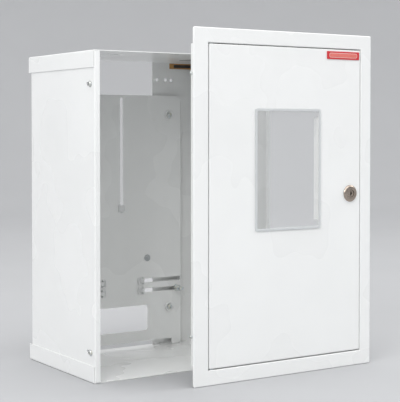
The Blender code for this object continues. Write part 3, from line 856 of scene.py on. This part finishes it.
class CABINET_OT_neck_screws(Operator):
    """Make the short screws that stand through the surround's neck"""

    bl_idname = "cabinet.neck_screws"
    bl_label = "Neck screws"

    def execute(self, context):
        steps = [
            (0.0020, 0.0), (0.0032, 0.0004), (0.0040, 0.0012), (0.0042, 0.0020), (0.0042, 0.0026),
            (0.0025, 0.0026), (0.0025, 0.0120), (0.0019, 0.0125),
        ]
        for side in SIDES:
            screw_pair(side, "neck_screw_", "neck_stud_", "frame", steps, 0.0)
        return {"FINISHED"}


class CABINET_OT_plate_screws(Operator):
    """Make the mounting plate's screws, their cup washers and nuts, and its hole plugs"""

    bl_idname = "cabinet.plate_screws"
    bl_label = "Plate screws, nuts and plugs"

    def execute(self, context):
        first = middle_of("plate_screw_left_lower")
        start = front_of("plate_screw_left_lower")
        screw_steps = [
            (0.0018, 0.0), (0.0030, 0.0004), (0.0039, 0.0012), (0.0043, 0.0022), (0.0044, 0.0034),
            (0.0025, 0.0036), (0.0025, 0.0214), (0.0019, 0.0220),
        ]
        screw = turned("washer_screw_left_lower", start, screw_steps)
        cut(screw, *cross_recess(start, BACK, 0.0020, 0.0024, 0.0010))
        soften(screw, 0.00012)
        washer_steps = [
            (0.0044, 0.0039), (0.0052, 0.0037), (0.0064, 0.0026), (0.0074, 0.0018), (0.0081, 0.0017),
            (0.0085, 0.0021), (0.0085, 0.0046),
        ]
        washer = turned("cup_washer_left_lower", start, washer_steps)
        soften(washer, 0.00015)
        node = "plate_nut_left_lower"
        nut = hexagon("hex_nut_left_lower", front_of(node), 0.0046, 0.0028, depth_of(node))
        soften(nut, 0.00012)
        for corner in CORNERS:
            move = middle_of("plate_screw_" + corner) - first
            for made, name, material, slot, nodes in (
                (screw, "washer_screw_", zinc_plate(), "zinc_steel", ["plate_screw_" + corner]),
                (nut, "hex_nut_", zinc_plate(), "zinc_steel", ["plate_nut_" + corner]),
                (washer, "cup_washer_", powder_coat(), "white_enamel", []),
            ):
                piece = made if move.length < TOUCH else copy_to(made, name + corner, move)
                finish(piece, material, "box", slot, *nodes)
        place = front_of("hole_plug_left")
        plug_steps = [
            (0.0020, 0.0), (0.0038, 0.00025), (0.0052, 0.0008), (0.0058, 0.0015), (0.0058, 0.0020),
            (0.0036, 0.0020), (0.0036, 0.0054), (0.0030, 0.0060),
        ]
        plug = turned("press_plug_left", place, plug_steps)
        soften(plug, 0.0001)
        other = copy_to(plug, "press_plug_right", front_of("hole_plug_right") - place)
        nylon = moulded_nylon("moulded_dark_grey_nylon", colours().plug)
        for side, piece in zip(SIDES, (plug, other)):
            finish(piece, nylon, "box", "grey_nylon", "hole_plug_" + side)
        return {"FINISHED"}


# Sliders and clamp


def slider_wells(centre, upright, pocket):
    """A slider's wells: each its middle in X and Z, its halves and its depth."""
    shallow = 0.0016
    if upright:
        return [(centre.x, centre.z, (0.0045, 0.0045), shallow)]
    sign = math.copysign(1, centre.x)
    entry, rise, halves = sign * ENTRY_PLACE, 0.0047, (ENTRY[0], 0.0017)
    return [
        (sign * 0.0350, centre.z, (0.0018, 0.0050), shallow),
        (entry, centre.z - rise, halves, pocket),
        (entry, centre.z + rise, halves, pocket),
    ]


class CABINET_OT_sliders(Operator):
    """Make the square sliders that grip the edges of the plate's slots"""

    bl_idname = "cabinet.sliders"
    bl_label = "Sliders"

    def execute(self, context):
        plate_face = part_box("mounting_plate")[0].y
        plate_back = plate_face + sizes().sheet
        seat, foot = plate_face - CLEARANCE, plate_back + CLEARANCE
        for name in ("hanger", *CORNERS):
            node = "slider_" + name
            low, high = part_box(node)
            centre = (low + high) / 2
            upright = name == "hanger"
            along = 2 if upright else 0
            half_neck = (HANGER_SLOT[0] if upright else SIDE_SLOT[1]) - CLEARANCE
            slider = block_between("square_" + node, low, (high.x, seat, high.z))
            pick(slider, "FACE", lies_at(1, seat))
            inset = min(high.x - low.x, high.z - low.z) / 2 - half_neck
            bpy.ops.mesh.inset(thickness=inset, depth=0.0)
            span = high[along] - low[along]
            stretch = [1.0, 1.0, 1.0]
            stretch[along] = (span - 0.0004) / (span - 2 * inset)
            bpy.ops.transform.resize(value=stretch, center_override=(centre.x, seat, centre.z))
            bpy.ops.mesh.extrude_region_move(TRANSFORM_OT_translate={"value": BACK * (foot - seat)})
            cut(slider, block_between("foot", (low.x, foot, low.z), high), operation="UNION")
            for x, z, halves, deep in slider_wells(centre, upright, plate_back - low.y):
                ends = about(x, z, halves, low.y - 0.001, low.y + deep)
                cut(slider, rounded_block("well", *ends, 0.0006, 3))
            soften(slider, 0.0003, 3)
            nylon = moulded_nylon("moulded_pale_grey_nylon", colours().nylon)
            finish(slider, nylon, "hanger_slider" if upright else node, "grey_nylon", node)
        return {"FINISHED"}


class CABINET_OT_clamp(Operator):
    """Make the clamp bolt in the lower right slot and the wing nut on it"""

    bl_idname = "cabinet.clamp"
    bl_label = "Clamp bolt and wing nut"

    def execute(self, context):
        centre = front_of("clamp_bolt")
        bolt_steps = [
            (0.0019, 0.0), (0.0024, 0.0005), (0.0024, 0.0190), (0.0050, 0.0190), (0.0052, 0.0194),
            (0.0052, 0.0216), (0.0048, 0.0220),
        ]
        bolt = turned("clamping_bolt", centre, bolt_steps)
        finish_zinc(bolt, 0.0001, "clamp", "clamp_bolt")
        nut_low, nut_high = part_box("wing_nut")
        hub_steps = [(0.0056, 0.0), (0.0057, 0.0008), (0.0054, 0.0040), (0.0048, 0.0105), (0.0042, 0.0115)]
        hub = turned("butterfly_nut", (centre.x, nut_high.y, centre.z), hub_steps, -BACK)
        lean = math.radians(20)
        root, tip = 0.0030, 0.0095
        for turn, mirror in ((0.0, 1), (math.pi, -1)):
            wing = block_between("wing", (root, -0.0013, -0.0034), (tip, 0.0013, 0.0042))
            pick(wing, "FACE", lies_at(0, tip))
            bpy.ops.transform.resize(value=(1, 0.8, 0.72), center_override=(tip, 0, 0.0028))
            bpy.ops.transform.translate(value=(0, -0.0010, 0.0014))
            pick(wing, "EDGE", anything)
            bpy.ops.mesh.bevel(offset=0.0009, segments=3, affect="EDGES")
            deselect()
            wing.rotation_euler = (0, turn + lean, 0)
            wing.scale = (1, 1, mirror)
            wing.location = (centre.x, nut_low.y + 0.0040, centre.z)
            settle(wing)
            cut(hub, wing, operation="UNION")
        cut(hub, drill((centre.x, nut_low.y - OVERRUN, centre.z), 0.0027, 0.025))
        finish_zinc(hub, 0.00015, "clamp", "wing_nut")
        return {"FINISHED"}


# Front surround and door


def ring_from_plane(name, low, high, opening_low, opening_high):
    """A flat mitred ring in one X-Z plane: a plane, inset, its inner edges moved to the opening."""
    ring = plane_between(name, low, (high[0], low[1], high[2]))
    pick(ring, "FACE", anything)
    margin = 0.005
    bpy.ops.mesh.inset(thickness=margin, depth=0.0)
    for axis in (0, 2):
        for now, wanted in (
            (low[axis] + margin, opening_low[axis]),
            (high[axis] - margin, opening_high[axis]),
        ):
            move = Vector()
            move[axis] = wanted - now
            pick(ring, "VERT", at(axis, now))
            bpy.ops.transform.translate(value=move)
    pick(ring, "FACE", both(inside(0, opening_low, opening_high), inside(2, opening_low, opening_high)))
    bpy.ops.mesh.delete(type="FACE")
    return ring


class CABINET_OT_surround(Operator):
    """Make the front surround: mitred border with a short hem, the neck and its inward lip"""

    bl_idname = "cabinet.surround"
    bl_label = "Front surround"

    def execute(self, context):
        low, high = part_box("frame_rim")
        front, neck_end = low.y, high.y - sizes().sheet
        hem, lip = 0.003, 0.010
        neck_low = Vector((low.x + 0.026, front, low.z + 0.023))
        neck_high = Vector((high.x - 0.0215, front, high.z - 0.0225))
        outer, neck = on_rectangle(low, high), on_rectangle(neck_low, neck_high)
        rim = ring_from_plane("front_surround", low, high, neck_low, neck_high)
        fold_out(rim, both(outer, lies_at(1, front)), (0, hem, 0))
        fold_out(rim, both(neck, lies_at(1, front)), (0, neck_end - front, 0))
        fold_out(rim, both(neck, lies_at(1, neck_end)), (0, 0, 0))
        mesh = bmesh.from_edit_mesh(rim.data)
        for vert in mesh.verts:
            if vert.select:
                vert.co.x += lip if vert.co.x < (low.x + high.x) / 2 else -lip
                vert.co.z += lip if vert.co.z < (low.z + high.z) / 2 else -lip
        bmesh.update_edit_mesh(rim.data)
        front_bends = both(either(outer, neck), lies_at(1, front))
        round_bends(rim, either(front_bends, corner_folds(low, high, 0.002)), sizes().front_bend)
        round_bends(rim, both(neck, lies_at(1, neck_end)), 0.0009, 3)
        thicken(rim, (low.x + 0.012, front, high.z / 2))
        margin, radius = 0.00005, sizes().surround_corner
        start = (low.x - margin, front - 0.01, low.z - margin)
        end = (high.x + margin, front + 0.09, high.z + margin)
        cut(rim, rounded_block("surround_outline", start, end, radius, 8), operation="INTERSECT")
        for corner in CORNERS:
            screw = middle_of("neck_screw_" + corner)
            cut(rim, drill((screw.x - 0.010, screw.y, screw.z), 0.0028, 0.020, (1, 0, 0), 24))
        finish_sheet(rim, "frame", "frame_rim")
        return {"FINISHED"}


class CABINET_OT_keeper_and_pins(Operator):
    """Make the lock's keeper angle and the two hinge pins on the surround's neck"""

    bl_idname = "cabinet.keeper_and_pins"
    bl_label = "Keeper and hinge pins"

    def execute(self, context):
        low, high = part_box("lock_keeper")
        keeper = plane_between("keeper_angle", (high.x, low.y, low.z), high)
        fold_out(keeper, at(1, low.y), (low.x - high.x, 0, 0))
        round_bends(keeper, both(lies_at(0, high.x), lies_at(1, low.y)), 0.0022)
        thicken(keeper, (low.x, low.y, high.z), thickness=0.0015)
        finish_zinc(keeper, 0.0003, "frame", "lock_keeper")
        steps = [(0.0032, 0.0), (0.0032, 0.0007), (0.0018, 0.0010), (0.0018, 0.0086), (0.0011, 0.0095)]
        for level, up in zip(LEVELS, (1, -1)):
            low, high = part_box("hinge_pin_" + level)
            centre = (low + high) / 2
            foot = (centre.x, centre.y, low.z if up > 0 else high.z)
            pin = turned("door_pivot_" + level, foot, steps, (0, 0, up))
            finish_zinc(pin, 0.0001, "frame", "hinge_pin_" + level)
        return {"FINISHED"}


def window_opening():
    """Low and high corners of the window's opening, from the pane that sits in it."""
    low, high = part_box("window_pane")
    gap = Vector((CLEARANCE, 0, CLEARANCE))
    return low - gap, high + gap


class CABINET_OT_door(Operator):
    """Make the door: skin, folded edges, and window reveals with notched corners"""

    bl_idname = "cabinet.door"
    bl_label = "Door"

    def execute(self, context):
        low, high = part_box("door_leaf")
        front = low.y
        opening_low, opening_high = window_opening()
        reveal = 0.0127
        door = ring_from_plane("door_panel", low, high, opening_low, opening_high)
        outer, window = on_rectangle(low, high), on_rectangle(opening_low, opening_high)
        fold_out(door, both(outer, lies_at(1, front)), (0, high.y - front, 0))
        fold_out(door, both(window, lies_at(1, front)), (0, reveal, 0))
        front_bends = both(either(outer, window), lies_at(1, front))
        round_bends(door, either(front_bends, corner_folds(low, high, 0.015)), sizes().front_bend)
        thicken(door, (low.x + 0.02, front, low.z + 0.02))
        notch, notch_start = sizes().reveal_notch, front + sizes().front_bend + 0.0005
        for x in (opening_low.x, opening_high.x):
            for z in (opening_low.z, opening_high.z):
                ends = about(x, z, (notch, notch), notch_start, front + 0.03)
                cut(door, block_between("notch", *ends))
        for level, edge in zip(LEVELS, (low.z, high.z)):
            pin = middle_of("hinge_pin_" + level)
            cut(door, drill((pin.x, pin.y, edge - 0.004), 0.0021, 0.008, (0, 0, 1)))
        lock = middle_of("lock_housing")
        cut(door, drill((lock.x, front - OVERRUN, lock.z), 0.0093, 0.012, sides=48))
        finish_sheet(door, "door", "door_leaf")
        return {"FINISHED"}


class CABINET_OT_window(Operator):
    """Make the clear window sheet and the thin rim round it"""

    bl_idname = "cabinet.window"
    bl_label = "Window"

    def execute(self, context):
        pane = rounded_block("window_sheet", *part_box("window_pane"), 0.0012, 4)
        soften(pane, 0.0002)
        low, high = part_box("window_rim")
        rim = rounded_block("window_bead", low, high, 0.004, 8)
        opening_low, opening_high = window_opening()
        cover = 0.0012  # how far the bead reaches over the opening's edge
        start = (opening_low.x + cover, low.y - OVERRUN, opening_low.z + cover)
        end = (opening_high.x - cover, low.y + OVERRUN, opening_high.z - cover)
        cut(rim, rounded_block("bead_hole", start, end, 0.0015, 4))
        soften(rim, 0.0004, 3)
        finish(pane, clear_acrylic(), "door", "clear_acrylic", "window_pane")
        finish(rim, frosted_acrylic(), "door", "clear_acrylic", "window_rim")
        return {"FINISHED"}


class CABINET_OT_name_plate(Operator):
    """Make the small red label on the door, with a lighter capsule in place of any mark"""

    bl_idname = "cabinet.name_plate"
    bl_label = "Door label"

    def execute(self, context):
        low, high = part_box("name_plate")
        plate = rounded_block("door_label", low, high, 0.0012, 4)
        soften(plate, 0.00015)
        finish(plate, printed_vinyl("printed_red_vinyl", colours().label), "door", "red_label", "name_plate")
        edge = Vector((0.0045, 0, 0.0024))
        ink, line, corner = 0.00012, 0.0007, 0.0028
        for name, inset, rise in (("label_line", 0.0, ink), ("label_field", line, 2 * ink)):
            border = edge + Vector((inset, 0, inset))
            start = low + border - BACK * rise
            end = Vector((high.x, low.y + 0.0002, high.z)) - border
            inlay = rounded_block(name, start, end, corner - inset)
            vinyl = printed_vinyl("printed_vinyl_" + name, getattr(colours(), name))
            finish(inlay, vinyl, "door", "red_label")
        return {"FINISHED"}


# Lock


class CABINET_OT_lock(Operator):
    """Make the cam lock: case and its nut on the door, then the barrel, cam and cam screw"""

    bl_idname = "cabinet.lock"
    bl_label = "Cam lock"

    def execute(self, context):
        low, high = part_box("lock_housing")
        centre = (low + high) / 2
        nickel = nickel_plate(centre)
        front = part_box("door_leaf")[0].y
        seat = front - low.y - CLEARANCE
        depth = high.y - low.y
        case_steps = [
            (0.0092, 0.0002), (0.0104, 0.0), (0.0116, 0.0005), (0.0127, 0.0014), (0.0134, 0.0024),
            (0.0135, seat), (0.0090, seat), (0.0090, depth - 0.0006), (0.0084, depth),
        ]
        case = turned("lock_case", front_of("lock_housing"), case_steps, sides=64)
        bore = (centre.x, low.y - OVERRUN, centre.z)
        cut(case, drill(bore, 0.0060, depth + 2 * OVERRUN, sides=48))
        flat, beyond = 0.0078, 0.012
        for sign in SIDES.values():
            start = (centre.x + sign * flat, front + 0.0010, centre.z - beyond)
            end = (centre.x + sign * beyond, front + 0.040, centre.z + beyond)
            cut(case, block_between("case_flat", start, end))
        soften(case, 0.0002)
        finish(case, nickel, "door", "nickel", "lock_housing")

        nut = hexagon("lock_ring_nut", front_of("lock_nut"), 0.0138, 0.0093, depth_of("lock_nut"))
        finish_zinc(nut, 0.0002, "door", "lock_nut")

        low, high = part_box("lock_plug")
        face, square, tail = low.y, 0.0030, 0.0052
        body = high.y - tail + 0.0020 - face
        barrel_steps = [(0.0050, 0.0), (0.0054, 0.0001), (0.0057, 0.0005), (0.0057, body)]
        barrel = turned("lock_barrel", (centre.x, face, centre.z), barrel_steps, sides=64)
        ends = about(centre.x, centre.z, (square, square), face + body - 0.002, high.y)
        cut(barrel, block_between("tail", *ends), operation="UNION")
        reach = face - OVERRUN, face + 0.012
        keyway = about(centre.x, centre.z, (0.0011, 0.0036), *reach)
        ward = about(centre.x + 0.0012, centre.z + 0.0002, (0.0007, 0.0010), *reach)
        cut(barrel, rounded_block("keyway", *keyway, 0.0010), block_between("ward", *ward))
        soften(barrel, 0.00012)
        finish(barrel, nickel, "lock", "nickel", "lock_plug")

        low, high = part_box("lock_cam")
        cam = rounded_block("lock_tongue", low, high, 0.0072, 10)
        hole = square + CLEARANCE
        ends = about(centre.x, centre.z, (hole, hole), low.y - OVERRUN, high.y + OVERRUN)
        cut(cam, block_between("tongue_hole", *ends))
        finish_zinc(cam, 0.0003, "lock", "lock_cam")
        low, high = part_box("cam_screw")
        screw_steps = [
            (0.0058, 0.0), (0.0058, 0.0010), (0.0040, 0.0010), (0.0040, 0.0018), (0.0034, 0.0026),
            (0.0020, 0.0030),
        ]
        screw = turned("tongue_screw", (centre.x, low.y, centre.z), screw_steps)
        cut(screw, *cross_recess((centre.x, high.y, centre.z), -BACK, 0.0016, 0.0021, 0.0009))
        finish_zinc(screw, 0.0001, "lock", "cam_screw")
        return {"FINISHED"}


class CABINET_OT_inner_tag(Operator):
    """Make the amber paper tag at the box's top right corner, with a plain dark band"""

    bl_idname = "cabinet.inner_tag"
    bl_label = "Inner tag"

    def execute(self, context):
        rail_low, rail_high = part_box("rear_rail_right")
        back, top = rail_low.y - 0.0001, rail_high.z - 0.0010
        paper, ink, height = 0.00035, 0.0001, 0.0095
        low, high = Vector((0.103, back - paper, top - height)), Vector((0.158, back, top))
        tag = rounded_block("paper_tag", low, high, 0.0008, 3)
        finish(tag, printed_vinyl("printed_amber_paper", colours().tag), "box", "red_label")
        start = (low.x + 0.009, low.y - ink, low.z + 0.0020)
        end = (high.x - 0.003, low.y, high.z - 0.0020)
        band = rounded_block("tag_band", start, end, 0.0006, 3)
        finish(band, printed_vinyl("printed_dark_ink", colours().tag_ink), "box", "red_label")
        return {"FINISHED"}


# Studio


class CABINET_OT_studio(Operator):
    """Make the studio: pale floor that curves up all round, soft lights and the camera"""

    bl_idname = "cabinet.studio"
    bl_label = "Studio"

    def execute(self, context):
        scene = context.scene
        studio = scene.cabinet_studio
        radius, height = studio.sweep_radius, studio.sweep_height
        bend = radius * 0.4
        steps = [(radius - bend, 0.0)]
        for step in range(1, studio.sweep_steps + 1):
            angle = math.pi / 2 * step / studio.sweep_steps
            steps.append((radius - bend + bend * math.sin(angle), bend - bend * math.cos(angle)))
        steps.append((radius, height))
        floor = -0.0002
        sweep = turned("studio_sweep", (0.1, 0.0, floor), steps, (0, 0, 1), 96)
        pick(sweep, "FACE", lies_at(2, height + floor))
        bpy.ops.mesh.delete(type="FACE")
        face_towards(sweep, (0, 0, 0), (0, 0, 1))
        take(sweep)
        bpy.ops.object.shade_smooth_by_angle(angle=SOFT_ANGLE)
        coat(sweep, backdrop_paint())

        deselect()
        turn = (math.pi / 2 - studio.camera_tilt, 0.0, -studio.camera_turn)
        bpy.ops.object.camera_add(location=studio.camera_place, rotation=turn)
        camera = context.object
        camera.data.lens = studio.lens
        camera.data.shift_y = studio.shift
        camera.data.clip_start = 0.05
        scene.camera = camera

        target = (Vector(CAD_BOX[0]) + Vector(CAD_BOX[1])) / 2
        for name, place, width, power in (
            ("key_light", (-2.2, -1.4, 1.7), 1.5, studio.key_power),
            ("fill_light", (2.7, -1.2, 1.9), 1.4, studio.fill_power),
            ("top_light", (-0.2, -1.2, 2.8), 2.0, studio.top_power),
        ):
            deselect()
            bpy.ops.object.light_add(type="AREA", location=place)
            light = context.object
            light.name = name
            light.data.shape = "SQUARE"
            light.data.size = width
            light.data.energy = power
            light.rotation_euler = (target - Vector(place)).to_track_quat("-Z", "Y").to_euler()

        world = bpy.data.worlds.new("studio_room")
        world.use_nodes = True
        background = world.node_tree.nodes["Background"]
        background.inputs["Color"].default_value = (1.0, 1.0, 1.0, 1.0)
        background.inputs["Strength"].default_value = studio.sky
        scene.world = world
        scene.view_settings.view_transform = "Standard"
        return {"FINISHED"}


class CABINET_PT_sidebar(Panel):
    """Lists the cabinet's pieces and settings"""

    bl_label = "Standpipe cabinet"
    bl_idname = "CABINET_PT_sidebar"
    bl_space_type = "VIEW_3D"
    bl_region_type = "UI"
    bl_category = "Cabinet"

    def draw(self, context):
        for group in GROUPS:
            box = self.layout.box()
            settings = getattr(context.scene, group)
            for name in settings.bl_rna.properties.keys():
                if name not in ("rna_type", "name"):
                    box.prop(settings, name)
        for piece in PIECES:
            self.layout.operator(piece.bl_idname)


PIECES = (
    CABINET_OT_studio,
    CABINET_OT_trays,
    CABINET_OT_side_panels,
    CABINET_OT_back_rails,
    CABINET_OT_mounting_plate,
    CABINET_OT_side_screws,
    CABINET_OT_plate_screws,
    CABINET_OT_neck_screws,
    CABINET_OT_sliders,
    CABINET_OT_clamp,
    CABINET_OT_surround,
    CABINET_OT_keeper_and_pins,
    CABINET_OT_door,
    CABINET_OT_window,
    CABINET_OT_name_plate,
    CABINET_OT_lock,
    CABINET_OT_inner_tag,
)
GROUPS = {
    "cabinet_sizes": CabinetSizes,
    "cabinet_colours": CabinetColours,
    "cabinet_studio": CabinetStudio,
}


def register():
    for made in (*GROUPS.values(), *PIECES, CABINET_PT_sidebar):
        bpy.utils.register_class(made)
    for name, group in GROUPS.items():
        setattr(bpy.types.Scene, name, PointerProperty(type=group))


def unregister():
    for name in GROUPS:
        delattr(bpy.types.Scene, name)
    for made in (CABINET_PT_sidebar, *reversed(PIECES), *GROUPS.values()):
        bpy.utils.unregister_class(made)


def main():
    register()
    for piece in PIECES:
        group, call = piece.bl_idname.split(".")
        getattr(getattr(bpy.ops, group), call)()


if __name__ == "__main__":
    main()
